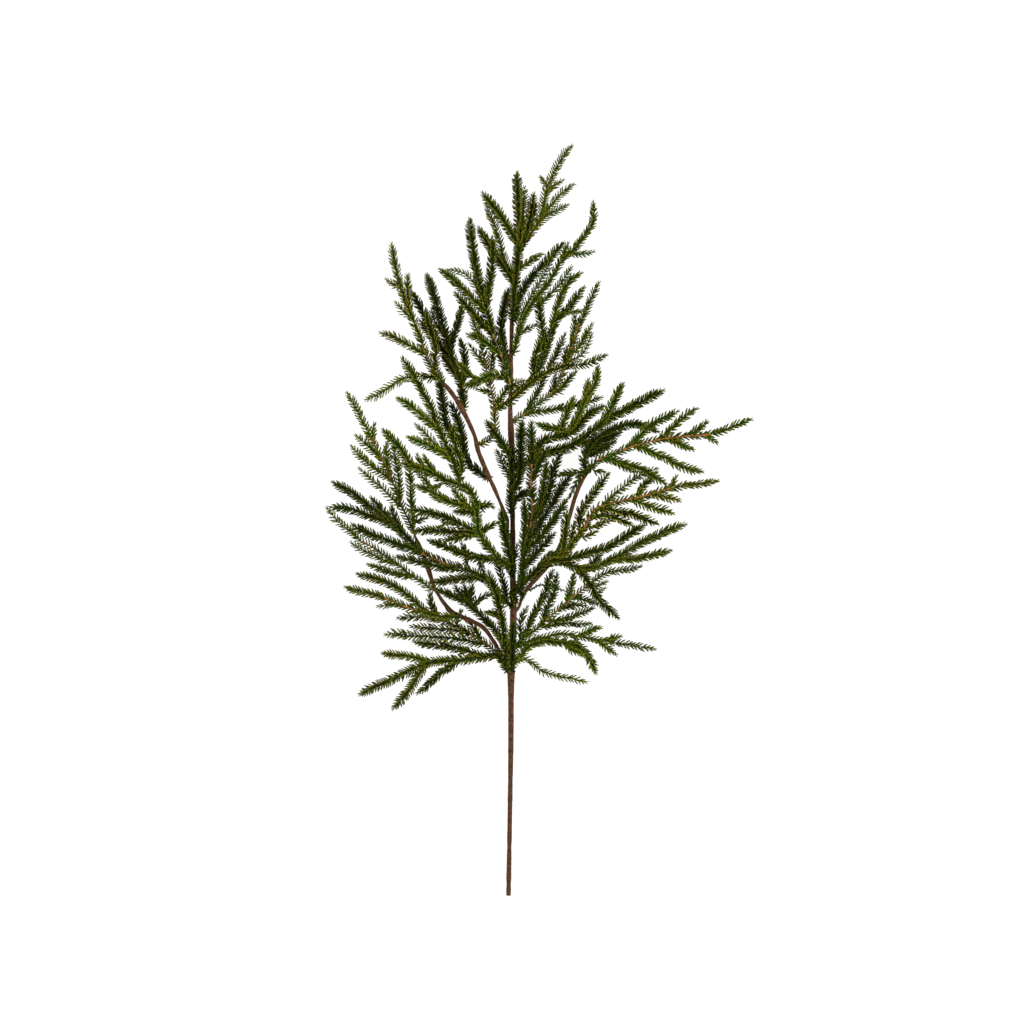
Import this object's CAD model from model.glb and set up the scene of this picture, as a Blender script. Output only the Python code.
# An artificial Norfolk pine branch lying on a table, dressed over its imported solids: the wrapped
# stem and side wires, and on each spray its moulded rib, its twigs and their needles.
# The table is in drawing millimetres, with Y along the branch from the foot and Z up.
import math

import bpy
import numpy as np
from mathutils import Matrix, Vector


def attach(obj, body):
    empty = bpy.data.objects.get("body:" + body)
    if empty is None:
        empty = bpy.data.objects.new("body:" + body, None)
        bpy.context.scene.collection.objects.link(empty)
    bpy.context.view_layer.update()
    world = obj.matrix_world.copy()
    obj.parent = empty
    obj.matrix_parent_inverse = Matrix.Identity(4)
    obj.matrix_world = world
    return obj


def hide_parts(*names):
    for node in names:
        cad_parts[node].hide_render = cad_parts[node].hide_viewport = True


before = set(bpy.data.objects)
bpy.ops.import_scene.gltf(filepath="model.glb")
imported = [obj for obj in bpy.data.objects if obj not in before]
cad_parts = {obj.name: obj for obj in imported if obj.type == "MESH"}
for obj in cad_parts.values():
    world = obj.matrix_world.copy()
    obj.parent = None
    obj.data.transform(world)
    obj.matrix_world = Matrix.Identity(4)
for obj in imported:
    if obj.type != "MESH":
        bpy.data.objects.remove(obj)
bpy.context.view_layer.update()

# The drawing's origin is the middle of the stem's foot, and this is where that lies in the frame,
# in millimetres.
FOOT_IN_FRAME = (-35.91, -451.94, -0.28)
MM = 0.001

# The needle's form: its root's half width, each ring's rise and swell in turn, then its point
NEEDLE_SIDES = 4
NEEDLE_ROOT = 0.37
NEEDLE_RINGS = ((0.25, 1.35), (0.35, 1), (0.25, 0.72))
NEEDLE_POINT = 0.15
NEEDLE_BEND = 0.15
NEEDLE_THINNESS = 0.7

# Needles along a twig, in millimetres or as shares: how they follow its reach, and change at its ends
USUAL_REACH = 5.5
PITCH_BY_REACH = 0.8
LENGTH_BY_REACH = 0.3
STEEPEST = 0.85
ROOT_DEPTH = 0.45
FIRST_NEEDLE = 0.3
LAST_NEEDLE = 0.2
ROW_STOPS_SHORT = 1
END_STRETCH = 12
SIZE_AT_BASE = 0.55
OPENING = 1.03
CLOSER_AT_TIP = 0.33
SHORTER_AT_TIP = 0.4
THINNER_AT_TIP = 0.3
BRIGHTER_AT_TIP = 0.3

# Rows of needles: the turn from the top in degrees, the start in spaces, length, brightness, how
# pale the back edge is, and whether the row is on top
NEEDLE_ROWS = (
    (88, 0, 1, 0.55, 0.4, False),
    (-88, 0.3, 1, 0.5, 0.4, False),
    (36, 0.2, 0.9, 0.62, 0.05, True),
    (-36, 0.72, 0.9, 0.62, 0.05, True),
    (140, 0.55, 0.8, 0.18, 0, False),
    (-140, 0.85, 0.8, 0.15, 0, False),
)
ROWS_OF_THIN_TWIGS = 4
THIN_REACH = 4.8

# How dark, pale and sparse twigs differ from the others, and how many needles grow on a bare rib
DARK_SHIFT = -0.36
PALE_SHIFT = 0.32
LOWEST_TONE = 0.02
HIGHEST_TONE = 1.5
SPARSE_WIDTH = 0.88
SPARSE_PITCH = 1.15
OVER_BARE_RIBS = 0.1

# How much single needles differ: one standard deviation, in radians or as shares
SPREAD = {"roll": 0.12, "place": 0.1, "turn": 0.15, "opening": 0.06, "size": 0.06, "tone": 0.2}

# The brush of needles at a twig's tip: its length in millimetres, and the share of it past the axis
TIP_BRUSH = 5.5
TIP_NEEDLES = 3
BRUSH_SHARE = 0.8
BRUSH_STRETCH = 1.05
BRUSH_OPENING = math.radians(27)
BRUSH_WIDTH = 0.8
BRUSH_TONE = 0.85
BRUSH_PALE_BACK = 0.2

# Twigs, ribs and stalks, in millimetres
PATH_STEP = 1.5
FINE_STEPS = 12
FEWEST_PLACES = 4
AXIS_SIDES = 5
AXIS_BASE_RADIUS = 1.2
AXIS_TIP_RADIUS = 0.55
AXIS_NUMBERS = (0.4, 0.45)
RIB_SIDES = 6
RIB_RADIUS = 0.95
KNUCKLE = 0.9
KNUCKLE_LENGTH = 2.5
END_KNUCKLE_LENGTH = 3
STALK_SLANT = 0.15
STALK_AIM = 4

# Wrapped stem and wires, in millimetres
WRAP_SIDES = 20
WRAP_STEP = 2.0
WRAP_LUMP = 0.35
LUMP_STEPS = 5
ROOT_LENGTH = 10

# The unrolled wrap's map: its share taken up round a wire, and by each millimetre along it
UNROLLED_ROUND = 0.25
UNROLLED_ALONG = 0.004

# Patterns, in millimetres. Scuffs and the wrap's fibres are drawn as coarse as they need to show.
# The last is how much of the browning comes from the needle's own tone.
DYE_PATCH = 15.4
SCUFF = 2.86
FIBRE_WIDTH = 1.08
FIBRE_LENGTH = 4.8
WRAP_GIRTH = 18.9
BROWNING_BY_TONE = 0.4


def twig(reach, *points):
    """How far a twig's needles reach from its middle, and its points as seen from above."""
    return {"reach": reach, "points": points}


def spray(name, base, tip, arch, *twigs):
    """One moulding: its height at the base and at the far tips, its arch, its rib and side twigs."""
    return {"name": name, "base": base, "tip": tip, "arch": arch, "twigs": twigs}


def wire(name, *points):
    """A wrapped wire: points of x, y, height and radius from its root to its end."""
    return {"name": name, "points": points}


WIRES = [
    wire("main_stem",
        [0, 0, 3, 2.8], [1.5, 90, 25, 2.9], [2.8, 180, 47, 3.1], [3, 252, 62, 3.8], [3.1, 264, 64, 4.6],
        [3.8, 278, 65, 4], [5.8, 335, 66, 4.1], [5.2, 375, 66, 3.4], [5, 450, 67, 3.1],
        [4, 500, 67, 3], [3.4, 545, 66, 3.9], [2.6, 568, 66, 3.6], [2.1, 585, 66, 2.6],
        [3, 640, 64, 2.5], [4, 690, 62, 2.5]),
    wire("wire_lower_left",
        [-3.8, 274, 65, 1.8], [-9, 290, 64, 2.2], [-18.5, 306.5, 63, 2.4], [-32, 323.5, 61, 2.7],
        [-56, 335, 58, 2.5], [-65, 339, 57, 2.6], [-71, 343, 56, 3.4],
        [-75, 348.5, 55, 2.4], [-80, 355, 54, 2.2], [-89, 370, 52, 2.3],
        [-94, 385, 50, 2.7], [-99, 401, 48, 2.4], [-106, 418, 46, 2.2], [-113, 433, 44, 1.5]),
    wire("wire_upper_left",
        [-0.9, 436, 67, 1.5], [-1.3, 452, 68, 1.7], [-9, 470, 69, 2], [-17, 489, 70, 2.4],
        [-24.5, 505, 70, 2.7], [-36, 533, 71, 2.7], [-41, 553, 71, 2.5], [-53.5, 580, 71, 2.8],
        [-67, 602, 70, 2.7], [-78.5, 616, 69, 2]),
    wire("wire_right",
        [12.6, 347, 66, 1.7], [17, 360, 66, 2.2], [27, 374, 65, 2.8], [44, 393, 64, 2.8],
        [57, 411, 63, 2.5], [66, 432, 62, 2.3], [74.5, 460, 61, 2.6], [80, 479, 60, 2.5],
        [87.5, 497, 59, 2.4], [96, 511, 57.5, 1.9]),
]

SPRAYS = [
    # The crown and the top right
    spray("spray_crown", 69, 5, 0,
        twig(6.4, [5, 697], [7, 728], [9, 748], [11, 768], [13, 790], [12, 815], [11, 842], [10, 871]),
        twig(6.5, [13, 788], [16, 808], [18, 830], [19, 853]),
        twig(6.5, [12, 775], [20, 790], [26, 812], [29, 830], [30, 845]),
        twig(5.5, [19, 786], [30, 800], [38, 815], [42, 832], [46, 849], [55, 870], [66, 889], [77, 903]),
        twig(4.5, [46, 851], [42, 858], [37, 864]),
        twig(4.5, [45, 844], [54, 852], [67, 861]),
        twig(5, [38, 815], [50, 828], [63, 843], [80, 856]),
        twig(5.5, [31, 802], [44, 815], [58, 823], [73, 831]),
        twig(6.5, [12, 782], [1, 800], [-12, 820], [-23, 834], [-33, 846]),
        twig(6, [7, 735], [-4, 752], [-14, 767], [-25, 783], [-37, 804]),
        twig(5.5, [7, 742], [-5, 765], [-10, 784], [-16, 804], [-22, 819], [-28, 830]),
        twig(4.5, [10, 750], [19, 757], [29, 764], [43, 772])),
    spray("spray_upper_right_long", 54, 40, 0,
        twig(6, [8, 692], [10, 708], [14, 722], [21, 734], [31, 746], [41, 757], [51, 768], [60, 778],
            [68, 786])),
    spray("spray_upper_right_thin", 68, 82, 0,
        twig(5, [7, 652], [9, 665], [12, 675], [16, 688], [21, 700], [28, 710], [36, 721], [44, 731],
            [51, 741], [57, 752], [64, 763], [71, 770], [79, 777], [86, 785], [92, 794], [99, 804],
            [102, 815], [101, 835]),
        twig(5, [13, 678], [14, 692], [19, 705], [26, 718], [33, 729], [40, 741], [46, 753], [51, 765],
            [54, 773]),
        twig(5.5, [63, 762], [68, 773], [72, 785]),
        twig(4.5, [72, 771], [84, 770], [95, 771], [104, 774]),
        twig(4.5, [79, 777], [81, 783], [83, 789]),
        twig(4.5, [12, 675], [20, 679], [28, 683], [37, 687])),
    spray("spray_upper_right_wide", 58, 54, 0,
        twig(5.5, [7, 602], [15, 609], [25, 616], [33, 626], [39, 640], [44, 653], [49, 667], [53, 681],
            [60, 694], [70, 703], [80, 717], [92, 732]),
        twig(6, [42, 648], [42, 662], [41, 676], [39, 690], [37, 705], [36, 716], [37, 728]),
        twig(5, [37, 708], [46, 718], [56, 728], [63, 736], [70, 746], [76, 757]),
        twig(5.5, [52, 680], [55, 694], [59, 708], [64, 722], [72, 737], [80, 743], [89, 749]),
        twig(3.5, [62, 697], [77, 701], [93, 702]),
        twig(5.5, [30, 622], [30, 635], [33, 650], [38, 664], [42, 676])),
    # The right side above the middle
    spray("spray_right_orange_rib", 58, 30, 0,
        twig(5, [9, 571], [14, 575], [21, 580], [30, 587], [40, 595], [50, 602], [58, 611], [64, 624],
            [70, 641], [75, 655], [79, 669], [83, 682], [88, 693], [94, 704], [99, 717], [105, 729],
            [109, 739]),
        twig(5, [22, 581], [27, 592], [33, 602], [41, 618], [48, 632], [55, 646], [62, 661], [68, 677]),
        twig(5, [51, 603], [60, 606], [68, 614], [75, 623], [82, 632]),
        twig(5.2, [51, 603], [54, 613], [57, 628]),
        twig(5, [74, 651], [82, 656], [88, 665], [94, 675], [101, 689]),
        twig(5, [69, 640], [80, 645], [89, 651], [95, 663], [101, 677]),
        twig(4.5, [76, 658], [78, 676], [80, 691], [77, 704]),
        twig(6, [67, 632], [69, 648], [70, 662]),
        twig(5.5, [18, 578], [32, 581], [48, 583], [64, 586], [80, 590], [96, 594], [114, 600])),
    spray("spray_right_far_reaching", 69.5, 52, 0,
        twig(6.8, [8, 512], [18, 517], [28, 523], [40, 530], [55, 534], [70, 538], [84, 545], [97, 555],
            [110, 565], [125, 576], [140, 583], [160, 594], [188, 608]),
        twig(6, [112, 566], [118, 577], [124, 589], [130, 601], [138, 617]),
        twig(6.5, [30, 525], [38, 543], [50, 550], [62, 552], [75, 556], [85, 565], [93, 575],
            [103, 583], [117, 589]),
        twig(5.5, [62, 551], [64, 563], [68, 574], [73, 586], [79, 601]),
        twig(5.5, [70, 553], [78, 566], [84, 578], [89, 589], [94, 600], [100, 608], [105, 618],
            [108, 638]),
        twig(5, [92, 597], [94, 609], [96, 622]),
        twig(5, [72, 556], [60, 560], [46, 563], [31, 567])),
    spray("spray_right_dark", 46, 22, 0,
        twig(6, [90, 524], [94, 535], [101, 546], [115, 555], [130, 562], [145, 566], [158, 566],
            [170, 561], [182, 557]),
        twig(6.8, [96, 538], [110, 546], [123, 551], [137, 558]),
        twig(6, [94, 533], [108, 536], [120, 541], [130, 547]),
        twig(5.5, [101, 546], [88, 543], [76, 548]),
        twig(5, [92, 529], [102, 531], [112, 536], [121, 537])),
    spray("spray_right_top_rib", 64, 60, 0,
        twig(5, [99, 515], [105, 521], [115, 526.5], [128, 531], [150, 540], [165, 544], [182, 548],
            [210, 551.5], [235, 553], [250, 556], [265, 562], [280, 568], [293, 573]),
        twig(5, [236, 553], [244, 548], [252, 543]),
        twig(4.8, [99, 515], [95, 510], [84, 508], [70, 507.5], [56, 504]),
        twig(4.5, [99, 515], [104, 510], [117, 509]),
        twig(3.5, [93, 509.5], [84, 500], [76.5, 487], [72.5, 477]),
        twig(5.5, [216, 553], [224, 558], [231, 563], [240, 571]),
        twig(5.5, [190, 550], [200, 545], [211, 540], [224, 535]),
        twig(5.5, [181, 548], [190, 556], [198, 563], [205, 570], [213, 577], [228, 586]),
        twig(6, [150, 540], [165, 536], [180, 529], [190, 525], [200, 519], [212, 514], [222, 511],
            [234, 509]),
        twig(6, [148, 540], [153, 547], [160, 555], [168, 563], [178, 569], [190, 575], [205, 583]),
        twig(4.5, [140, 536], [146, 543], [149, 550]),
        twig(6, [110, 524], [122, 524], [132, 521], [145, 517], [157, 513], [168, 507], [180, 500],
            [191, 494]),
        twig(5, [128, 522], [137, 516], [152, 508])),
    spray("spray_right_second_rib", 60, 44, 0,
        twig(5, [64, 410], [68, 412], [74, 418], [80, 427], [88, 438], [94, 448], [98, 456], [105, 465],
            [113, 468], [130, 473], [148, 477], [170, 482], [192, 489], [202, 490], [214, 493],
            [232, 494.5], [253, 499]),
        twig(5, [192, 489], [198, 496], [202, 506]),
        twig(6, [168, 481], [180, 481], [192, 478], [208, 474.5]),
        twig(6, [146, 477], [158, 472], [168, 468], [182, 464], [200, 459]),
        twig(5, [154, 478], [159, 488], [166, 496], [173, 503], [179, 510]),
        twig(6, [113, 468], [122, 478], [132, 486], [142, 494], [152, 502], [165, 508], [180, 514]),
        twig(6.2, [86, 437], [85, 450], [87, 462], [94, 472], [101, 482], [108, 491], [114, 500],
            [121, 509]),
        twig(6, [104, 464], [120, 464], [135, 461], [150, 458], [165, 452], [181, 446]),
        twig(6, [97, 454], [112, 457], [128, 455], [140, 449], [151, 443]),
        twig(4.5, [92, 444], [100, 442], [108, 445], [117, 449], [127, 451]),
        twig(4.5, [84, 432], [92, 431], [100, 434], [108, 439]),
        twig(4, [76, 421], [76, 432], [79, 450])),
    spray("spray_right_broad", 76, 64, 0,
        twig(6.2, [2, 362], [12, 372], [24, 382], [36, 392], [48, 400], [62, 403], [76, 405], [90, 410],
            [105, 414], [120, 419], [135, 428], [150, 437], [165, 446]),
        twig(6, [60, 403], [66, 418], [68, 435], [69, 450], [70, 464]),
        twig(5.5, [36, 393], [48, 407], [61, 411], [76, 413]),
        twig(6, [4, 364], [8, 356], [9, 346])),
    spray("spray_right_forked", 56, 30, 0,
        twig(6, [58, 404], [70, 399], [84, 393], [95, 393], [105, 395], [115, 399], [125, 404],
            [136, 410], [148, 417], [160, 424], [175, 431], [195, 440], [215, 447]),
        twig(5.5, [120, 402], [133, 404], [150, 404.5], [165, 407], [180, 411], [197, 415]),
        twig(6, [80, 396], [87, 389], [94, 380], [100, 369], [106, 359], [113, 351], [121, 343],
            [134, 332]),
        twig(4.5, [104, 362], [110, 366], [117, 371]),
        twig(4.5, [99, 371], [109, 373], [120, 378]),
        twig(6.5, [98, 393], [104, 403], [113, 411])),
    # The right side below the middle
    spray("spray_right_lower_rib", 68, 20, 0,
        twig(4.5, [12, 303], [18, 310], [25, 315], [33, 320], [40, 326], [48, 333], [58, 342],
            [70, 352], [80, 361], [91, 369], [103, 379], [111, 384], [122, 389], [136, 391], [150, 393],
            [161, 397]),
        twig(5, [18, 310], [23, 321], [28, 333], [34, 345], [40, 356], [45, 368], [49, 381], [54, 393]),
        twig(6.2, [40, 326], [44, 338], [48, 350], [53, 362], [56, 375], [58, 389]),
        twig(4.5, [15, 308], [14, 326], [18, 338], [23, 349]),
        twig(5, [69, 352], [73, 364], [76, 375], [80, 389]),
        twig(5.5, [60, 344], [72, 348], [84, 349], [95, 348]),
        twig(5, [78, 359], [90, 356], [99, 353], [108, 350]),
        twig(4.5, [38, 324], [48, 324], [60, 327], [72, 327], [86, 326], [101, 327.5]),
        twig(5, [46, 331], [58, 330], [70, 333], [80, 337], [90, 341], [104, 347])),
    spray("spray_right_lowest_long", 60, 24, 0,
        twig(4.5, [12, 299], [20, 304], [28, 307.5], [38, 309], [48, 311.5], [58, 314], [68, 314.5],
            [78, 313], [88, 311], [98, 309], [108, 307], [118, 306], [128, 304], [148, 301], [163, 298],
            [178, 296]),
        twig(5.2, [84, 312], [94, 317], [104, 321], [113, 322.5]),
        twig(5, [106, 307.5], [115, 301], [122, 295], [131, 289]),
        twig(5.2, [118, 306], [126, 310], [137, 312.5]),
        twig(4, [76, 313], [82, 307], [88, 301])),
    spray("spray_right_lowest_drooping", 58, 4.5, 0,
        twig(6, [9, 281], [15, 289], [22, 298], [32, 303.5], [45, 306], [58, 305], [72, 302.5],
            [84, 299.5], [92, 292], [98, 283], [103, 273], [106, 265]),
        twig(5, [66, 304], [76, 296], [86, 292], [95, 286]),
        twig(4.5, [10, 282], [20, 284], [28, 280], [35, 274], [42, 269], [52, 266], [62, 263],
            [76, 261], [86, 258], [96, 256])),
    spray("spray_right_thin_rib", 68, 68, 0,
        twig(3.2, [26, 367], [36, 373], [47, 372.5], [58, 370], [67, 366], [76, 363])),
    # The middle, in front of the stem
    spray("spray_stem_foot_front", 75, 74, 0,
        twig(5.5, [4, 272], [4.5, 285], [5, 304], [5.5, 331])),
    spray("spray_stem_middle", 75, 88, 0,
        twig(6, [3, 461], [3, 478], [4, 495], [4, 512], [5, 528], [6, 542]),
        twig(6, [4, 499], [-4, 513], [-9, 524], [-16, 536]),
        twig(6, [4, 522], [-3, 536], [-10, 546], [-17, 556], [-28, 571]),
        twig(6.8, [3, 482], [11, 497], [14, 512], [15, 530], [15, 550], [16, 572]),
        twig(6, [3, 470], [12, 479], [22, 484], [32, 482])),
    spray("spray_stem_column_right", 84, 104, 0,
        twig(6.5, [14, 366], [16, 380], [18, 398], [21, 418], [26, 440], [28, 460], [28, 480],
            [27, 500], [28, 522], [27, 545], [27, 571]),
        twig(5.5, [19, 408], [18, 425], [20, 442], [20, 458], [18, 478]),
        twig(6.5, [22, 424], [33, 440], [42, 455], [50, 468], [58, 481], [66, 494], [77, 509]),
        twig(6, [20, 412], [34, 426], [45, 440], [55, 452], [63, 465], [71, 478]),
        twig(6, [17, 393], [28, 405], [38, 417], [47, 427], [56, 437]),
        twig(6, [27, 447], [36, 466], [41, 485], [44, 502], [46, 522]),
        twig(6, [30, 452], [44, 474], [51, 494], [54, 512], [64, 532]),
        twig(6, [28, 498], [34, 513], [41, 526], [47, 541])),
    spray("spray_stem_left_column", 75, 78, 0,
        twig(6.5, [4, 385], [3, 398], [0, 413], [-3, 428], [-6, 445], [-9, 467]),
        twig(5, [4, 397], [8, 409], [10, 424])),
    # The lower left
    spray("spray_lowest_left", 75, 4, 18,
        twig(6.5, [-2, 272], [-6, 281], [-14, 289], [-30, 287], [-50, 284], [-70, 282.5], [-90, 281],
            [-103, 277], [-118, 271], [-132, 264], [-146, 257], [-162, 250], [-181, 240]),
        twig(5.5, [-94, 281], [-108, 285], [-122, 288], [-138, 289.5], [-154, 291]),
        twig(6.5, [-98, 278], [-106, 269], [-111, 261], [-116, 252], [-123, 243], [-131, 233],
            [-140, 222]),
        twig(5.5, [-58, 283], [-68, 276], [-80, 269], [-90, 260], [-99, 251], [-111, 242]),
        twig(5.5, [-26, 288], [-42, 291], [-58, 296], [-78, 300], [-98, 302], [-115, 305])),
    spray("spray_lower_left_comb", 57, 12, 0,
        twig(5.5, [-12, 290], [-20, 297], [-28, 303.5], [-37, 309], [-48, 316], [-60, 322], [-70, 327],
            [-80, 331], [-92, 333.5], [-105, 335], [-120, 334.5], [-135, 333]),
        twig(6, [-26, 302], [-40, 304], [-58, 308], [-78, 310], [-100, 311], [-120, 312.5],
            [-135, 314.5], [-150, 313]),
        twig(5.5, [-46, 315], [-60, 318.5], [-75, 320], [-92, 321], [-106, 322.5], [-119, 323]),
        twig(5.5, [-33, 307], [-39, 317], [-46, 327], [-53, 336]),
        twig(4.5, [-62, 323], [-60, 334], [-56, 345])),
    spray("spray_left_low_rib", 64, 44, 0,
        twig(5.5, [-62, 334], [-76, 335], [-88, 336.5], [-100, 339.5], [-112, 343], [-125, 348],
            [-138, 353], [-152, 359], [-165, 362.5], [-180, 366], [-198, 370.5]),
        twig(4.5, [-124, 348], [-136, 350.5], [-148, 348.5], [-159, 347]),
        twig(6, [-96, 339], [-106, 347], [-116, 357], [-128, 366], [-140, 373.5], [-154, 379],
            [-168, 383], [-184, 386.5]),
        twig(5, [-84, 336], [-91, 346], [-94, 356], [-93, 366])),
    spray("spray_left_inner_low", 72, 82, 0,
        twig(5.5, [-1, 292], [-6, 304], [-13, 315], [-22, 326], [-32, 336], [-41, 344], [-50, 351.5],
            [-62, 358], [-75, 364], [-89, 369.5]),
        twig(6, [-50, 351], [-56, 359], [-61, 366], [-66, 374]),
        twig(6.5, [-48, 350], [-51, 362], [-55, 376]),
        twig(6, [-46, 348], [-46, 362], [-43, 376]),
        twig(4.5, [-42, 345], [-36, 356], [-26, 361], [-16, 363])),
    spray("spray_left_column_low", 84, 104, 4,
        twig(6, [-3, 283], [-3.5, 292], [-5, 310], [-8, 330], [-11, 346], [-15, 361], [-19, 374],
            [-25, 391]),
        twig(5, [-8, 333], [-18, 339.5], [-30, 341]),
        twig(4.5, [-4, 303], [-11, 311], [-18, 316])),
    spray("spray_left_long_rib", 72, 66, 0,
        twig(6, [-1, 350], [-6, 357], [-12, 364], [-20, 373], [-28, 380], [-38, 385], [-50, 391],
            [-62, 395], [-75, 399], [-88, 404], [-100, 409], [-110, 417], [-119, 427], [-129, 437],
            [-140, 447], [-152, 455], [-163, 464], [-172, 471], [-181, 478.5], [-191, 485.5],
            [-201, 491], [-213, 497]),
        twig(6, [-136, 444], [-146, 456], [-156, 467], [-166, 479]),
        twig(6, [-131, 439], [-145, 448], [-158, 453], [-172, 458], [-186, 463], [-200, 466],
            [-216, 466]),
        twig(5.5, [-126, 433], [-133, 446], [-138, 458], [-141, 470]),
        twig(6.5, [-104, 411], [-118, 417], [-132, 421.5], [-144, 426], [-158, 431], [-170, 436],
            [-180, 441], [-190, 446]),
        twig(5.5, [-58, 394], [-71, 393], [-86, 395], [-100, 399], [-116, 403], [-136, 407.5]),
        twig(6, [-32, 382], [-46, 381], [-61, 380.5], [-78, 378], [-96, 375]),
        twig(4.5, [-4, 355], [-4, 368], [-8, 382], [-12, 393], [-18, 404])),
    spray("spray_left_outer_thin", 44, 12, 0,
        twig(5.5, [-93, 368], [-100, 374], [-108, 379], [-117, 385], [-126, 392], [-135, 399],
            [-145, 406], [-155, 413], [-167, 420.5], [-178, 426.5], [-188, 436], [-199, 445],
            [-209, 454], [-220, 467.5]),
        twig(5.5, [-134, 398], [-148, 402], [-161, 408.5], [-175, 415], [-191, 425]),
        twig(5, [-114, 383], [-128, 385], [-140, 388.5], [-154, 392.5], [-171, 398.5]),
        twig(4.5, [-181, 429], [-187, 436], [-191, 442])),
    spray("spray_left_dark_cross", 56, 60, 0,
        twig(6, [-3, 398], [-16, 403.5], [-30, 405], [-44, 407], [-58, 412], [-71, 418], [-84, 423],
            [-98, 427]),
        twig(4.5, [-46, 408], [-52, 416], [-58, 425]),
        twig(4.5, [-48, 408], [-51, 400], [-50, 389]),
        twig(4.5, [-34, 405], [-33, 396], [-27, 383])),
    spray("spray_left_arching", 82, 82, 0,
        twig(6.5, [-1, 396], [-9, 402], [-17, 409], [-24, 419], [-31, 428], [-37, 438], [-38, 450],
            [-38, 462], [-40, 474], [-45, 484], [-53, 491], [-66, 495], [-78, 500], [-91, 507],
            [-104, 512], [-115, 516], [-122, 525], [-130, 537], [-138, 546], [-152, 561]),
        twig(5, [-100, 510], [-106, 519], [-110, 531]),
        twig(5, [-86, 505], [-95, 516], [-103, 530]),
        twig(5.5, [-110, 514], [-120, 517], [-132, 519]),
        twig(4.5, [-80, 494], [-91, 490], [-99, 498], [-105, 505], [-113, 514]),
        twig(5.5, [-39, 461], [-50, 466], [-62, 470], [-75, 475], [-86, 482], [-98, 488], [-114, 493]),
        twig(5.5, [-62, 470], [-76, 475], [-94, 479]),
        twig(5, [-48, 465], [-57, 475], [-63, 483], [-69, 491]),
        twig(4, [-44, 463], [-51, 473], [-57, 484]),
        twig(6, [-37, 437], [-47, 441], [-58, 446], [-70, 452], [-84, 457], [-100, 461], [-120, 463]),
        twig(6.3, [-38, 459], [-52, 461], [-67, 461]),
        twig(6, [-35, 434], [-50, 436], [-65, 437], [-82, 438], [-98, 439], [-116, 437]),
        twig(5, [-38, 434], [-54, 431], [-67, 428], [-81, 427]),
        twig(3.5, [-62, 447], [-75, 447.5], [-87, 440]),
        twig(5, [-34, 433], [-27, 441], [-18, 446], [-10, 449]),
        twig(6, [-40, 474], [-33, 467], [-24, 470], [-16, 465])),
    spray("spray_left_chevron", 46, 40, 0,
        twig(5.5, [-114, 438], [-120, 451], [-126, 463], [-131, 475], [-135, 487], [-140, 498],
            [-145, 510], [-151, 522], [-158, 535], [-164, 548], [-170, 560], [-176, 572], [-182, 584],
            [-188, 595], [-195, 605]),
        twig(5, [-163, 546], [-163, 556], [-161, 569]),
        twig(6, [-153, 526], [-161, 533], [-168, 539], [-175, 546], [-185, 554]),
        twig(6, [-141, 500], [-152, 507], [-161, 513], [-169, 519.5], [-177, 527], [-183, 534],
            [-190, 541]),
        twig(5.5, [-128, 467], [-135, 473], [-143, 480], [-150, 488], [-158, 494.5], [-166, 501],
            [-173, 507], [-181, 514]),
        twig(5.5, [-144, 508], [-145, 520], [-146, 532], [-147, 546]),
        twig(5.5, [-131, 474], [-131, 488], [-132, 500], [-133, 511], [-135, 521], [-137, 532],
            [-139, 545]),
        twig(5.5, [-115, 441], [-115, 452], [-116, 463], [-117, 476], [-117.5, 488], [-118, 500],
            [-119.5, 512], [-121, 524]),
        twig(6, [-115, 448], [-107, 451], [-96, 454])),
    # The upper left
    spray("spray_inner_left_thin", 72, 76, 0,
        twig(5, [-31, 543], [-26, 546], [-20, 550], [-16, 558], [-16.5, 571], [-17, 585], [-19, 599],
            [-22, 613], [-25.5, 627], [-28, 640], [-30.5, 652], [-34, 667]),
        twig(5, [-28, 636], [-33, 643], [-40, 652], [-49, 663]),
        twig(5, [-23, 616], [-21, 632], [-20, 648], [-19, 664]),
        twig(4.5, [-20, 601], [-28, 606], [-40, 608]),
        twig(5.5, [-17, 582], [-8, 588], [3, 594], [12, 603], [21, 611], [31, 619], [42, 626],
            [54, 632], [68, 636], [83, 637], [96, 639.5], [108, 645], [119, 650]),
        twig(5.5, [-17, 586], [-9, 599], [0, 609], [9, 615], [20, 620])),
    spray("spray_upper_left_front", 82, 104, 0,
        twig(6.5, [2, 613], [-1, 626], [-6, 640], [-11, 655], [-17, 669], [-22, 685], [-27, 704],
            [-32, 724], [-37, 744], [-42, 768], [-45, 792], [-47, 814]),
        twig(6, [-27, 706], [-24, 730], [-21, 750], [-19, 772], [-20, 792]),
        twig(4.5, [-31, 716], [-38, 729], [-47, 742], [-58, 749], [-74, 751]),
        twig(6, [-26, 699], [-38, 711], [-49, 722], [-60, 733], [-71, 743], [-84, 753]),
        twig(6, [-20, 677], [-31, 686], [-41, 698], [-52, 711], [-66, 725]),
        twig(5.2, [-27, 664], [-36, 674], [-41, 686], [-45, 701]),
        twig(6, [-10, 649], [-19, 658], [-29, 665], [-40, 671], [-51, 674]),
        twig(6.5, [0, 619], [-8, 624], [-20, 624.5], [-31, 620], [-42, 614.5], [-55, 611]),
        twig(5, [-33, 619], [-43, 622], [-52, 631], [-63, 642])),
    spray("spray_crown_left_dark", 54, 20, 0,
        twig(5.5, [-1, 640], [-5, 655], [-8, 670], [-9, 686], [-6, 702], [-3, 717], [-1, 731])),
    spray("spray_left_dark_climbing", 62, 30, 0,
        twig(6.5, [-54, 586], [-55, 598], [-56, 611], [-60, 624], [-64, 636], [-69, 648], [-73, 662],
            [-77, 677], [-81, 692], [-86, 708], [-91, 725], [-99, 748]),
        twig(5.5, [-70, 651], [-69, 664], [-65, 676], [-61, 687], [-58, 698], [-56, 712]),
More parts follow.
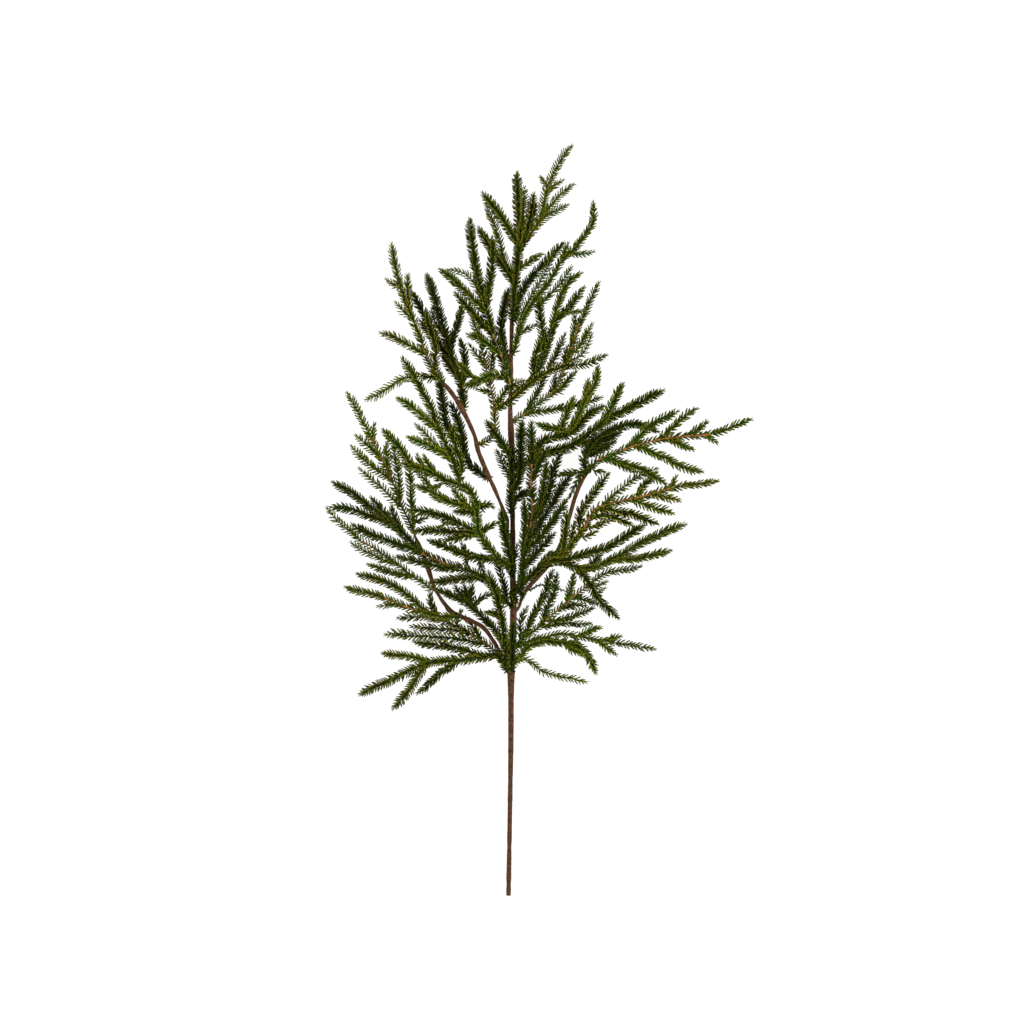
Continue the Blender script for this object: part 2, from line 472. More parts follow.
        twig(6.5, [-67, 643], [-76, 652], [-85, 664], [-93, 675], [-100, 684], [-109, 692]),
        twig(5.5, [-76, 671], [-84, 682], [-90, 693], [-93, 707]),
        twig(5.5, [-86, 666], [-93, 683], [-101, 698], [-109, 712], [-118, 728]),
        twig(5.5, [-59, 621], [-66, 629], [-74, 640], [-80, 652]),
        twig(5, [-57, 613], [-53, 626], [-52, 640], [-54, 655], [-59, 670])),
    spray("spray_left_far_corner", 68, 44, 0,
        twig(5.5, [-81, 619], [-87, 625], [-92, 633], [-97, 644], [-101, 656], [-105, 667], [-110, 679],
            [-114, 690], [-119, 702], [-124, 715], [-130, 731], [-134, 748], [-138, 765], [-141, 785]),
        twig(5, [-129, 729], [-138, 734], [-149, 741]),
        twig(5.5, [-115, 692], [-122, 698], [-129, 705], [-137, 714]),
        twig(5.5, [-118, 699], [-120, 714], [-121, 730], [-121, 748]),
        twig(6, [-99, 650], [-110, 656], [-121, 662], [-134, 669], [-145, 673.5], [-156, 676]),
        twig(6, [-86, 623], [-98, 622], [-111, 628]),
        twig(6, [-89, 627], [-88, 642], [-88, 657], [-91, 672], [-96, 687], [-99, 704])),
    spray("spray_left_bright_fork", 85, 94, 0,
        twig(6, [-59, 502], [-63, 512], [-68, 525], [-73, 538], [-79, 550], [-84, 562],
            [-89, 576], [-95, 590], [-102, 603], [-109, 616], [-118, 631], [-129, 647]),
        twig(6, [-110, 618], [-122, 622], [-135, 616], [-148, 607], [-160, 600], [-173, 594]),
        twig(6, [-83, 559], [-94, 567], [-104, 576], [-114, 585], [-124, 592], [-135, 598]),
        twig(6, [-68, 524], [-79, 531], [-91, 538], [-105, 544], [-123, 551]),
        twig(5, [-76, 535], [-87, 541], [-94, 549], [-102, 557], [-113, 567]),
        twig(5.5, [-59, 504], [-56, 514], [-58, 526], [-64, 540], [-67, 553], [-64, 568])),
    spray("spray_left_dark_hook", 56, 30, 0,
        twig(6, [-27, 503], [-34, 508], [-42, 514], [-49, 521], [-53, 533], [-55, 548], [-58, 562],
            [-63, 577], [-71, 594]),
        twig(6.5, [-54, 540], [-63, 549], [-71, 558], [-76, 570], [-78, 583], [-80, 598], [-82, 614],
            [-84, 633])),
]


def look(tone="leaf", needle=6.5, pitch=4.2, bare=(), rows=6, width=1.96, dark=(), pale=(), sparse=()):
    """How a spray is dressed: its green, its needles, where its rib is bare and in which tone.

    The last three are the numbers of its darker, its paler and its thinly needled twigs.
    """
    return {"tone": tone, "needle": needle, "pitch": pitch, "bare": bare, "rows": rows, "width": width,
            "dark": dark, "pale": pale, "sparse": sparse}


LOOKS = {
    "spray_crown": look("moss", 6, 3, width=2, dark=(0, 2, 9), pale=(3, 5, 6, 7), sparse=(1, 3, 5, 6, 7, 10)),
    "spray_upper_right_long": look("shade", 6, 3.3, width=1.87),
    "spray_upper_right_thin": look("leaf", 6, 3.5, width=1.77, dark=(5,), pale=(4,), sparse=(1, 4)),
    "spray_upper_right_wide": look("leaf", 6.5, 3.7, dark=(0, 1, 5), sparse=(2,)),
    "spray_right_orange_rib": look("moss", 6, 3.9, ((0, 95, "straw"), (112, 146, "tan")), width=1.77,
                                   dark=(1, 3, 7), pale=(4, 5), sparse=(5,)),
    "spray_right_far_reaching": look("leaf", 6.5, 3.2, dark=(0, 2), pale=(4, 5)),
    "spray_right_dark": look("shade", 6, 3.3, dark=(1, 2, 3, 4)),
    "spray_right_top_rib": look("leaf", 6.5, 4.6, ((4, 24, "tan"), (34, 152, "tan")), width=2.18,
                                dark=(2, 3, 4), pale=(6, 8, 10), sparse=(4,)),
    "spray_right_second_rib": look("gold", 6.5, 4.5, ((38, 168, "tan"),), width=2.18,
                                   dark=(6, 7, 8, 9, 10, 11), pale=(1, 2), sparse=(5,)),
    "spray_right_broad": look("moss", 6.5, 3.3, dark=(0, 3)),
    "spray_right_forked": look("moss", 6.5, 3.6, dark=(2, 5), sparse=(3, 4)),
    "spray_right_lower_rib": look("leaf", 6, 4, ((39, 121, "straw"),), dark=(1, 2, 3, 5, 6, 7, 8)),
    "spray_right_lowest_long": look("leaf", 6, 3.9, dark=(4,), pale=(2,)),
    "spray_right_lowest_drooping": look("light", 6.5, 3.7, pale=(1,), sparse=(2,)),
    "spray_right_thin_rib": look("shade", 2, 3.6, rows=4, width=1.25, dark=(0,)),
    "spray_stem_foot_front": look("shade", 6.5, 3.5),
    "spray_stem_middle": look("shade", 6.5, 3.3, dark=(0, 4), sparse=(1,)),
    "spray_stem_column_right": look("shade", 6.5, 3.7, ((75, 112, "tan"), (122, 155, "tan")), pale=(5,),
                                    dark=(2, 4, 6)),
    "spray_stem_left_column": look("shade", 6.5, 3.5, sparse=(1,)),
    "spray_lowest_left": look("moss", 6.5, 3.9, dark=(3, 4), pale=(1,)),
    "spray_lower_left_comb": look("gold", 7, 4.5, ((3, 43, "tan"),), rows=4, width=1.98, dark=(0, 2, 3)),
    "spray_left_low_rib": look("moss", 6.5, 4, ((42, 92, "tan"),), dark=(3,), pale=(0, 1), sparse=(1,)),
    "spray_left_inner_low": look("shade", 6.5, 3.7, dark=(1, 2)),
    "spray_left_column_low": look("leaf", 6.5, 3.5, dark=(0, 1), pale=(2,), sparse=(2,)),
    "spray_left_long_rib": look("shade", 6.5, 3.7, ((76, 124, "tan"),), dark=(3, 7), pale=(6,)),
    "spray_left_outer_thin": look("light", 6, 3.7, ((89, 103, "tan"),), pale=(0, 1, 3), sparse=(0, 1)),
    "spray_left_dark_cross": look("leaf", 6, 3.5, dark=(1, 2)),
    "spray_left_arching": look("leaf", 6.5, 3.7, dark=(9, 10, 11, 12, 14, 15), pale=(8,),
                               sparse=(6, 8, 13)),
    "spray_left_chevron": look("light", 6, 4, ((0, 72, "brown"), (72, 124, "tan")), rows=4, width=2.08,
                               dark=(8,), pale=(0, 3, 4), sparse=(4,)),
    "spray_inner_left_thin": look("gold", 6, 3.7, ((0, 30, "tan"), (44, 118, "brown")), rows=4,
                                  dark=(2, 3, 4, 5), sparse=(1,)),
    "spray_upper_left_front": look("leaf", 6.5, 3.5, ((0, 66, "straw"),), dark=(0, 1, 4), sparse=(2, 5)),
    "spray_crown_left_dark": look("shade", 6, 3),
    "spray_left_dark_climbing": look("shade", 6.5, 3.5, dark=(2,), pale=(0, 3, 5), sparse=(3,)),
    "spray_left_far_corner": look("gold", 6.5, 3.9, ((11, 50, "brown"),), width=1.77, dark=(5, 6),
                                  sparse=(2,)),
    "spray_left_bright_fork": look("light", 6.5, 3.7, dark=(0, 5), pale=(1,), sparse=(1, 4)),
    "spray_left_dark_hook": look("shade", 6.5, 3.5),
}


# Paths

def smooth_path(points, step):
    """Even steps along a smooth curve through hand-set points of any dimension."""
    corners = np.array(points, dtype=float)
    before = 2 * corners[0] - corners[1]
    after = 2 * corners[-1] - corners[-2]
    padded = np.vstack([before, corners, after])
    pieces = []
    share = np.linspace(0, 1, FINE_STEPS, endpoint=False)[:, None]
    for start, a, b, end in zip(padded, padded[1:], padded[2:], padded[3:]):
        bend = 2 * a + (b - start) * share + (2 * start - 5 * a + 4 * b - end) * share**2
        pieces.append((bend + (3 * a - start - 3 * b + end) * share**3) / 2)
    fine = np.vstack([*pieces, corners[-1:]])
    travelled = np.concatenate([[0], np.cumsum(np.linalg.norm(np.diff(fine, axis=0), axis=1))])
    count = max(3, int(round(travelled[-1] / step)) + 1)
    even = np.linspace(0, travelled[-1], count)
    return np.stack([np.interp(even, travelled, column) for column in fine.T], axis=1)


def lifted(one, flat):
    """Heights for points seen from above: even from the spray's base to its tips, with its arch."""
    base = np.array(one["twigs"][0]["points"][0], dtype=float)
    drawn = np.vstack([np.array(each["points"], dtype=float) for each in one["twigs"]])
    farthest = np.linalg.norm(drawn - base, axis=1).max()
    share = np.linalg.norm(flat - base, axis=1) / farthest
    height = one["base"] + (one["tip"] - one["base"]) * share + one["arch"] * 4 * share * (1 - share)
    return np.column_stack([flat, height])


def unit(vectors):
    return vectors / np.linalg.norm(vectors, axis=-1, keepdims=True)


def path_lengths(places):
    """How far along the path each place lies."""
    return np.concatenate([[0], np.cumsum(np.linalg.norm(np.diff(places, axis=0), axis=1))])


def path_frame(places):
    """The direction along the path, the level direction across it and the one that lifts off it."""
    along = unit(np.gradient(places, axis=0))
    across = unit(np.cross(along, (0, 0, 1)))
    lift = np.cross(across, along)
    return along, across, lift


# Mesh parts: arrays of places, of triangles, of two numbers a place for the looks, and of which
# triangles are smooth

def tube_part(places, radii, sides):
    """A closed tube along the places, with the two numbers of a needle's middle."""
    along, across, lift = path_frame(places)
    turn = np.linspace(0, 2 * math.pi, sides, endpoint=False)
    ring = across[:, None] * np.cos(turn)[None, :, None] + lift[:, None] * np.sin(turn)[None, :, None]
    skin = places[:, None] + ring * np.asarray(radii)[:, None, None]
    count = len(places)
    vertices = np.vstack([skin.reshape(-1, 3), places[:1], places[-1:]])
    here = np.arange(count - 1)[:, None] * sides + np.arange(sides)[None]
    beside = np.arange(count - 1)[:, None] * sides + (np.arange(sides)[None] + 1) % sides
    walls = [np.stack([here, beside + sides, beside], axis=-1).reshape(-1, 3)]
    walls.append(np.stack([here, here + sides, beside + sides], axis=-1).reshape(-1, 3))
    foot = count * sides
    first = np.arange(sides)
    second = (first + 1) % sides
    last = (count - 1) * sides
    walls.append(np.stack([np.full(sides, foot), first, second], axis=-1))
    walls.append(np.stack([np.full(sides, foot + 1), last + second, last + first], axis=-1))
    numbers = np.tile(AXIS_NUMBERS, (foot + 2, 1))
    triangles = np.vstack(walls)
    return vertices, triangles, numbers, np.ones(len(triangles), dtype=bool)


def joined(parts):
    """Several mesh parts as one."""
    vertices = np.vstack([part[0] for part in parts])
    starts = np.cumsum([0] + [len(part[0]) for part in parts[:-1]])
    triangles = np.vstack([part[1] + start for part, start in zip(parts, starts)])
    numbers = np.vstack([part[2] for part in parts])
    return vertices, triangles, numbers, np.concatenate([part[3] for part in parts])


def make_piece(name, groups):
    """One object from mesh parts and their materials; its UV map holds the parts' two numbers."""
    vertices, triangles, numbers, smooth = joined([part for part, _ in groups])
    mesh = bpy.data.meshes.new(name)
    mesh.vertices.add(len(vertices))
    mesh.vertices.foreach_set("co", ((vertices + FOOT_IN_FRAME) * MM).astype(np.float32).ravel())
    mesh.loops.add(triangles.size)
    mesh.loops.foreach_set("vertex_index", triangles.astype(np.int32).ravel())
    mesh.polygons.add(len(triangles))
    mesh.polygons.foreach_set("loop_start", np.arange(0, triangles.size, 3, dtype=np.int32))
    slots = np.concatenate([np.full(len(part[1]), i) for i, (part, _) in enumerate(groups)])
    mesh.polygons.foreach_set("material_index", slots.astype(np.int32))
    mesh.polygons.foreach_set("use_smooth", smooth)
    looks_map = mesh.uv_layers.new(name="along_and_tone")
    looks_map.uv.foreach_set("vector", numbers[triangles.ravel()].astype(np.float32).ravel())
    for _, material in groups:
        mesh.materials.append(material)
    mesh.update(calc_edges=True)
    mesh.validate()
    piece = bpy.data.objects.new(name, mesh)
    bpy.context.scene.collection.objects.link(piece)
    return piece


# Needles

def needle_form():
    """A straight needle one unit long and wide, modelled by hand: it swells, narrows and ends in a point."""
    bpy.ops.object.select_all(action="DESELECT")
    bpy.ops.mesh.primitive_circle_add(vertices=NEEDLE_SIDES, radius=1, fill_type="NGON")
    bpy.ops.object.mode_set(mode="EDIT")
    bpy.ops.mesh.select_all(action="SELECT")
    bpy.ops.transform.resize(value=(NEEDLE_ROOT, NEEDLE_ROOT, 1))
    for rise, swell in NEEDLE_RINGS:
        bpy.ops.mesh.extrude_region_move(TRANSFORM_OT_translate={"value": (0, 0, rise)})
        bpy.ops.transform.resize(value=(swell, swell, 1))
    bpy.ops.mesh.extrude_region_move(TRANSFORM_OT_translate={"value": (0, 0, NEEDLE_POINT)})
    bpy.ops.mesh.merge(type="CENTER")
    bpy.ops.mesh.select_all(action="SELECT")
    bpy.ops.mesh.quads_convert_to_tris()
    bpy.ops.mesh.normals_make_consistent(inside=False)
    bpy.ops.object.mode_set(mode="OBJECT")
    form = bpy.context.object
    mesh = form.data
    places = np.array([vertex.co[:] for vertex in mesh.vertices])
    triangles = np.array([face.vertices[:] for face in mesh.polygons])
    bpy.data.objects.remove(form)
    bpy.data.meshes.remove(mesh)
    return places, triangles


NEEDLE_PLACES, NEEDLE_TRIANGLES = needle_form()


def needle_part(roots, directions, forward, lengths, widths, tones, pale_backs):
    """A copy of the needle at each root, pointing its own way and bending forward.

    Its first number is low near its root, and high at its tip and, where asked, on its back edge.
    """
    bend = unit(forward - directions * np.sum(forward * directions, axis=1, keepdims=True))
    wide = np.cross(bend, directions)
    widths = widths[:, None, None]
    x = NEEDLE_PLACES[:, 0][None, :, None] * widths * NEEDLE_THINNESS
    y = NEEDLE_PLACES[:, 1][None, :, None] * widths
    rise = np.clip(NEEDLE_PLACES[:, 2], 0, 1)
    z = rise[None, :, None] * lengths[:, None, None]
    curve = (rise**2 * NEEDLE_BEND)[None, :, None] * lengths[:, None, None]
    copies = roots[:, None] + wide[:, None] * x + bend[:, None] * (y + curve) + directions[:, None] * z
    count = len(NEEDLE_PLACES)
    offsets = np.arange(len(roots))[:, None, None] * count
    triangles = (NEEDLE_TRIANGLES[None] + offsets).reshape(-1, 3)
    back_edge = np.clip(-NEEDLE_PLACES[:, 1] / NEEDLE_ROOT, 0, 1)
    ages = rise * (1 - pale_backs[:, None]) + back_edge * pale_backs[:, None]
    numbers = np.column_stack([ages.ravel(), np.repeat(tones, count)])
    return copies.reshape(-1, 3), triangles, numbers, np.zeros(len(triangles), dtype=bool)


def path_values(at, travelled, rows):
    """The rows' values at places along a path."""
    return np.stack([np.interp(at, travelled, column) for column in rows.T], axis=1)


def turned(lift, across, angle):
    """The direction off the path at this angle from the top."""
    return lift * np.cos(angle) + across * np.sin(angle)


def twig_needles(number, places, reach, dress, bare, dice):
    """The needles of one twig: rows at its sides, on top and below, ending in a small brush."""
    sparse = number in dress["sparse"]
    shift = DARK_SHIFT * (number in dress["dark"]) + PALE_SHIFT * (number in dress["pale"])
    width = dress["width"] * (SPARSE_WIDTH if sparse else 1)
    along, across, lift = path_frame(places)
    travelled = path_lengths(places)
    length = travelled[-1]
    pitch = dress["pitch"] * (USUAL_REACH / reach) ** PITCH_BY_REACH * (SPARSE_PITCH if sparse else 1)
    full = dress["needle"] + LENGTH_BY_REACH * reach
    lean = math.asin(min(STEEPEST, reach / full)) + math.atan(NEEDLE_BEND)
    roll = dice.normal(0, SPREAD["roll"])
    rows = NEEDLE_ROWS[:dress["rows"]]
    if sparse or reach < THIN_REACH:
        rows = rows[:ROWS_OF_THIN_TWIGS]
    groups = []
    for turn, start, stretch, brightness, pale_back, on_top in rows:
        at = np.arange(start * pitch, length - ROW_STOPS_SHORT, pitch)
        at = at + dice.normal(0, SPREAD["place"] * pitch, len(at))
        at = np.clip(at, FIRST_NEEDLE, length - LAST_NEEDLE)
        for begin, end in bare:
            if on_top:
                at = at[(at < begin) | (at > end) | (dice.random(len(at)) < OVER_BARE_RIBS)]
        front = unit(path_values(at, travelled, along))
        angle = (math.radians(turn) + roll + dice.normal(0, SPREAD["turn"], len(at)))[:, None]
        out = turned(path_values(at, travelled, lift), path_values(at, travelled, across), angle)
        near_tip = np.clip(1 - (length - at) / END_STRETCH, 0, 1)
        opening = lean * (OPENING - CLOSER_AT_TIP * near_tip) + dice.normal(0, SPREAD["opening"], len(at))
        opening = opening[:, None]
        sizes = full * stretch * (1 - SHORTER_AT_TIP * near_tip) * dice.normal(1, SPREAD["size"], len(at))
        groups.append((
            path_values(at, travelled, places) + out * ROOT_DEPTH,
            front * np.cos(opening) + out * np.sin(opening),
            front,
            sizes * np.clip(SIZE_AT_BASE + at / END_STRETCH, 0, 1),
            width * (1 - THINNER_AT_TIP * near_tip),
            dice.normal(brightness + shift, SPREAD["tone"], len(at)) + BRIGHTER_AT_TIP * near_tip,
            np.full(len(at), pale_back),
        ))
    for k in range(TIP_NEEDLES):
        angle = 2 * math.pi * k / TIP_NEEDLES + roll + math.pi / 2
        out = turned(lift[-1], across[-1], angle)
        opening = BRUSH_OPENING + dice.normal(0, SPREAD["opening"])
        way = along[-1] * math.cos(opening) + out * math.sin(opening)
        size = TIP_BRUSH * dice.normal(BRUSH_STRETCH, SPREAD["size"])
        brush_looks = (size, width * BRUSH_WIDTH, BRUSH_TONE + shift, BRUSH_PALE_BACK)
        numbers = [np.array([value]) for value in brush_looks]
        groups.append((places[-1:], way[None], along[-1:], *numbers))
    roots, ways, fronts, sizes, widths, tones, pale_backs = map(np.concatenate, zip(*groups))
    tones = np.clip(tones, LOWEST_TONE, HIGHEST_TONE)
    return needle_part(roots, ways, fronts, sizes, widths, tones, pale_backs)


# Materials

def linear(colour):
    """The linear red, green and blue of an sRGB hex colour."""
    parts = [int(colour[i:i + 2], 16) / 255 for i in (1, 3, 5)]
    return [*(c / 12.92 if c <= 0.04045 else ((c + 0.055) / 1.055) ** 2.4 for c in parts), 1]


def add(tree, kind, inputs=(), **settings):
    """Adds a node with its settings; an input is set to a value, or linked from another's output."""
    node = tree.nodes.new(kind)
    for name, value in settings.items():
        setattr(node, name, value)
    for name, value in dict(inputs).items():
        if isinstance(value, bpy.types.NodeSocket):
            tree.links.new(value, node.inputs[name])
        else:
            node.inputs[name].default_value = value
    return node


def new_material(name):
    material = bpy.data.materials.new(name)
    material.use_nodes = True
    material.node_tree.nodes.clear()
    return material, material.node_tree


def blend_colours(tree, factor, low, high):
    mix = add(tree, "ShaderNodeMix", data_type="RGBA")
    for socket, value in ((0, factor), (6, low), (7, high)):
        if isinstance(value, bpy.types.NodeSocket):
            tree.links.new(value, mix.inputs[socket])
        else:
            mix.inputs[socket].default_value = value
    return mix.outputs[2]


def moulded_polyethylene_needles(shade, deep, fresh, olive, tip):
    """Soft moulded polyethylene, hardly shiny: green to olive, dark at the needle's root, pale at its tip."""
    material, tree = new_material(f"moulded_polyethylene_{shade}")
    looks = add(tree, "ShaderNodeUVMap", uv_map="along_and_tone")
    parts = add(tree, "ShaderNodeSeparateXYZ", {"Vector": looks.outputs["UV"]})
    place = add(tree, "ShaderNodeTexCoord")
    # patches of browner dye, about 15 mm across
    patches = add(tree, "ShaderNodeTexNoise", {"Vector": place.outputs["Object"],
                                              "Scale": 1 / (DYE_PATCH * MM), "Detail": 2})
    tone = add(tree, "ShaderNodeMath",
               {0: parts.outputs["Y"], 1: BROWNING_BY_TONE, 2: patches.outputs["Fac"]},
               operation="MULTIPLY_ADD")
    browning = add(tree, "ShaderNodeMapRange", {"Value": tone.outputs[0], "From Min": 0.5, "From Max": 1.0})
    body = blend_colours(tree, browning.outputs[0], linear(fresh), linear(olive))
    # the needle is darkest where it leaves the twig, and the needles differ
    rise = add(tree, "ShaderNodeMapRange", {"Value": parts.outputs["X"], "From Min": 0.02, "From Max": 0.5})
    differ = add(tree, "ShaderNodeMapRange", {"Value": parts.outputs["Y"], "To Min": 0, "To Max": 1.3})
    lit = add(tree, "ShaderNodeMath", {0: rise.outputs[0], 1: differ.outputs[0]}, operation="MULTIPLY")
    green = blend_colours(tree, lit.outputs[0], linear(deep), body)
    ageing = add(tree, "ShaderNodeMapRange", {"Value": parts.outputs["X"], "From Min": 0.58, "From Max": 1})
    colour = blend_colours(tree, ageing.outputs[0], green, linear(tip))
    shader = add(tree, "ShaderNodeBsdfPrincipled", {"Base Color": colour, "Roughness": 0.5, "IOR": 1.51,
                                                   "Specular IOR Level": 0.09})
    add(tree, "ShaderNodeOutputMaterial", {"Surface": shader.outputs[0]})
    return material


def matt_skin(tree, colour, height, depth, roughness):
    """A matt surface of this colour, with the height's fine relief, as the material's look."""
    bump = add(tree, "ShaderNodeBump", {"Height": height, "Strength": 0.6, "Distance": depth})
    shader = add(tree, "ShaderNodeBsdfPrincipled", {"Base Color": colour, "Roughness": roughness, "IOR": 1.47,
                                                   "Specular IOR Level": 0.15, "Normal": bump.outputs[0]})
    add(tree, "ShaderNodeOutputMaterial", {"Surface": shader.outputs[0]})


def brushed_polyethylene_rib(tone, bright, dull):
    """The rib's bare moulding, brushed orange-brown over green: matt and scuffed."""
    material, tree = new_material(f"brushed_polyethylene_{tone}")
    place = add(tree, "ShaderNodeTexCoord")
    scuffs = add(tree, "ShaderNodeTexNoise", {"Vector": place.outputs["Object"],
                                             "Scale": 1 / (SCUFF * MM), "Detail": 3})
    worn = scuffs.outputs["Fac"]
    spread = add(tree, "ShaderNodeMapRange", {"Value": worn, "From Min": 0.35, "From Max": 0.65})
    colour = blend_colours(tree, spread.outputs[0], linear(dull), linear(bright))
    matt_skin(tree, colour, worn, depth=0.4 * MM, roughness=0.6)
    return material


def waxed_crepe_paper(light, dark):
    """Waxed crepe paper wound on wire: matt red-brown, with fine streaks along its length."""
    material, tree = new_material("waxed_crepe_paper")
    looks = add(tree, "ShaderNodeUVMap", uv_map="along_and_tone")
    # fibres about 1 mm wide and 5 mm long, on the unrolled wrap
    fibres_round = WRAP_GIRTH / FIBRE_WIDTH / UNROLLED_ROUND
    fibres_along = 1 / FIBRE_LENGTH / UNROLLED_ALONG
    stretch = add(tree, "ShaderNodeMapping", {"Vector": looks.outputs["UV"],
                                             "Scale": (fibres_round, fibres_along, 1)})
    fibres = add(tree, "ShaderNodeTexNoise", {"Vector": stretch.outputs["Vector"], "Scale": 1, "Detail": 4,
                                             "Roughness": 0.65})
    streaks = fibres.outputs["Fac"]
    spread = add(tree, "ShaderNodeMapRange", {"Value": streaks, "From Min": 0.37, "From Max": 0.63})
    colour = blend_colours(tree, spread.outputs[0], linear(dark), linear(light))
    matt_skin(tree, colour, streaks, depth=0.5 * MM, roughness=0.8)
    return material


GREENS = {
    "leaf": moulded_polyethylene_needles("leaf_green", "#0c1304", "#4c7c12", "#60680f", "#b29e22"),
    "moss": moulded_polyethylene_needles("moss_green", "#0d1304", "#4c7612", "#636510", "#ae9822"),
    "gold": moulded_polyethylene_needles("gold_green", "#101404", "#527b12", "#6c6f12", "#e4cc40"),
    "light": moulded_polyethylene_needles("light_green", "#141d05", "#5e8e14", "#717a16", "#bfb02e"),
    "shade": moulded_polyethylene_needles("shade_green", "#0a0f03", "#3a640e", "#4c4c0c", "#80721a"),
}
RIBS = {
    "tan": brushed_polyethylene_rib("tan", "#c2843e", "#7c5224"),
    "straw": brushed_polyethylene_rib("straw", "#b08f48", "#735a28"),
    "brown": brushed_polyethylene_rib("brown", "#8e6434", "#4c3416"),
}
WRAP = waxed_crepe_paper("#865b3b", "#27150b")


# Wrapped stem and wires

def wrapped_wire(one, stem=None):
    """A wire under its paper wrap, with the wrap's slight lumps; a side wire starts in the stem."""
    points = [np.array(point, dtype=float) for point in one["points"]]
    if stem is not None:
        root = points[0][:3] - unit(points[1][:3] - points[0][:3]) * ROOT_LENGTH
        near = stem[np.argmin(np.linalg.norm(stem - root, axis=1))]
        points.insert(0, np.append(near, points[0][3]))
    path = smooth_path(points, WRAP_STEP)
    places = path[:, :3]
    dice = np.random.default_rng(len(one["name"]))
    rough = dice.normal(0, 1, len(path) + LUMP_STEPS - 1)
    lumps = np.convolve(rough, np.ones(LUMP_STEPS) / LUMP_STEPS, mode="valid")
    radii = path[:, 3] + lumps * WRAP_LUMP
    vertices, triangles, _, smooth = tube_part(places, radii, WRAP_SIDES)
    # the wrap unrolled: round the wire, then along it
    around = np.concatenate([np.tile(np.linspace(0, 1, WRAP_SIDES, endpoint=False), len(places)), [0, 0]])
    travelled = path_lengths(places)
    along = np.concatenate([np.repeat(travelled, WRAP_SIDES), [0, travelled[-1]]])
    numbers = np.column_stack([around * UNROLLED_ROUND, along * UNROLLED_ALONG])
    piece = make_piece("wrapped_" + one["name"], [((vertices, triangles, numbers, smooth), WRAP)])
    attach(piece, "root")
    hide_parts(one["name"])
    return places


stem_places = wrapped_wire(WIRES[0])
wire_places = np.vstack([stem_places, *(wrapped_wire(one, stem_places) for one in WIRES[1:])])


# Sprays

# A spray that leaves another spray's rib, and not a wire
CARRIED = {"spray_left_bright_fork": "spray_left_arching"}


def stalk(base, onward, carriers):
    """From the nearest carrying wire or rib to a spray's base: a short stalk that leaves at a slant."""
    distances = np.linalg.norm(carriers - base, axis=1)
    near = carriers[np.argmin(distances)]
    middle = (near + base) / 2 - unit(onward - base) * distances.min() * STALK_SLANT
    return smooth_path([near, middle, base], PATH_STEP)


def rib_tube(places, forks):
    """A bare stretch of rib: thin, with a knuckle where each side twig leaves it, and one at its end."""
    gaps = np.linalg.norm(places[:, None] - forks[None], axis=2).min(axis=1)
    to_end = np.linalg.norm(places - places[-1], axis=1)
    knuckles = np.exp(-(gaps / KNUCKLE_LENGTH) ** 2) + np.exp(-(to_end / END_KNUCKLE_LENGTH) ** 2)
    return tube_part(places, RIB_RADIUS + KNUCKLE * knuckles, RIB_SIDES)


def dressed_spray(index, one, carriers):
    """One spray as a single joined mesh in place of its solid; gives back its rib's places."""
    dress = LOOKS[one["name"]]
    dice = np.random.default_rng(index)
    forks = lifted(one, np.array([each["points"][0] for each in one["twigs"]], dtype=float))
    brush_steps = round(TIP_BRUSH * BRUSH_SHARE / PATH_STEP)
    greens = []
    groups = []
    for number, each in enumerate(one["twigs"]):
        places = lifted(one, smooth_path(each["points"], PATH_STEP))
        places = places[:max(FEWEST_PLACES, len(places) - brush_steps)]
        bare = []
        if number == 0:
            rib = places
            lead = stalk(places[0], places[STALK_AIM], carriers)
            places = np.vstack([lead[:-1], places])
            begin = path_lengths(lead)[-1]
            bare = [(begin + start, begin + end) for start, end, _ in dress["bare"]]
        travelled = path_lengths(places)
        greens.append(twig_needles(number, places, each["reach"], dress, bare, dice))
        radii = AXIS_BASE_RADIUS + (AXIS_TIP_RADIUS - AXIS_BASE_RADIUS) * travelled / travelled[-1]
        greens.append(tube_part(places, radii, AXIS_SIDES))
        for (start, end), (_, _, tone) in zip(bare, dress["bare"] if bare else ()):
            shown = (travelled >= start) & (travelled <= end)
            groups.append((rib_tube(places[shown], forks), RIBS[tone]))
    groups.insert(0, (joined(greens), GREENS[dress["tone"]]))
    piece = make_piece(one["name"].replace("spray", "needled"), groups)
    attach(piece, "root")
    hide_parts(one["name"])
    return rib


ribs = {}
for index, one in enumerate(SPRAYS):
    if one["name"] in CARRIED:
        continue
    ribs[one["name"]] = dressed_spray(index, one, wire_places)
for index, one in enumerate(SPRAYS):
    if one["name"] in CARRIED:
        dressed_spray(index, one, ribs[CARRIED[one["name"]]])


# Studio, in metres, but for the aim in drawing millimetres and the camera's sensor

CAMERA_AIM = (4.2, 460.8, 60)
CAMERA_HEIGHT = 30.0
VIEW_WIDTH = 1.2288
SENSOR = 36
FLOOR_SIZE = 14


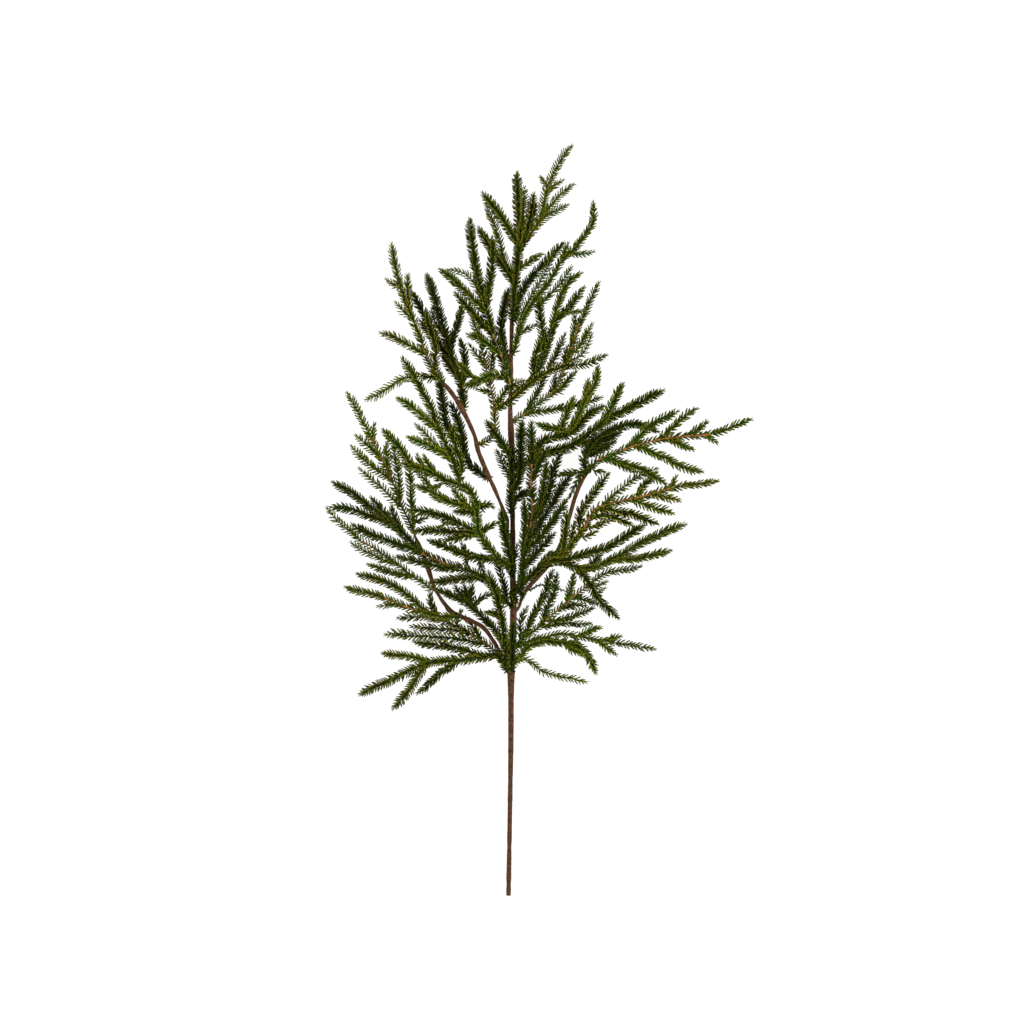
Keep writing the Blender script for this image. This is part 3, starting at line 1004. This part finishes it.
def in_frame(x, y, z):
    return [(value + foot) * MM for value, foot in zip((x, y, z), FOOT_IN_FRAME)]


def camera_above():
    data = bpy.data.cameras.new("camera_above")
    data.sensor_width = SENSOR
    data.lens = SENSOR * CAMERA_HEIGHT / VIEW_WIDTH
    data.clip_end = 100
    camera = bpy.data.objects.new("camera_above", data)
    aim = in_frame(*CAMERA_AIM)
    camera.location = (aim[0], aim[1], aim[2] + CAMERA_HEIGHT)
    bpy.context.scene.collection.objects.link(camera)
    bpy.context.scene.camera = camera


def soft_light(name, place, size, power):
    """A round soft lamp that is aimed at the middle of the floor."""
    data = bpy.data.lights.new(name, "AREA")
    data.shape = "DISK"
    data.size = size
    data.energy = power
    lamp = bpy.data.objects.new(name, data)
    lamp.location = place
    lamp.rotation_euler = (-Vector(place)).to_track_quat("-Z", "Y").to_euler()
    bpy.context.scene.collection.objects.link(lamp)


def pale_floor():
    """A light table: a pale diffusing sheet, lit a little from below so that shadows stay faint."""
    bpy.ops.object.select_all(action="DESELECT")
    bpy.ops.mesh.primitive_plane_add(size=FLOOR_SIZE, location=(0, 0, 0))
    floor = bpy.context.object
    floor.name = "pale_floor"
    material, tree = new_material("pale_floor")
    sheet = {"Base Color": linear("#868685"), "Roughness": 0.9, "Specular IOR Level": 0}
    glow = {"Emission Color": linear("#ffffff"), "Emission Strength": 0.92}
    shader = add(tree, "ShaderNodeBsdfPrincipled", {**sheet, **glow})
    add(tree, "ShaderNodeOutputMaterial", {"Surface": shader.outputs[0]})
    floor.data.materials.append(material)


def soft_world():
    world = bpy.data.worlds.new("soft_room")
    world.use_nodes = True
    world.node_tree.nodes["Background"].inputs["Color"].default_value = linear("#ffffff")
    world.node_tree.nodes["Background"].inputs["Strength"].default_value = 0.25
    bpy.context.scene.world = world


camera_above()
soft_light("key", place=(2.2, 1.5, 2.6), size=2.4, power=95)
soft_light("fill", place=(-2.2, -0.8, 2.3), size=2.6, power=38)
pale_floor()
soft_world()
bpy.context.scene.view_settings.view_transform = "Standard"
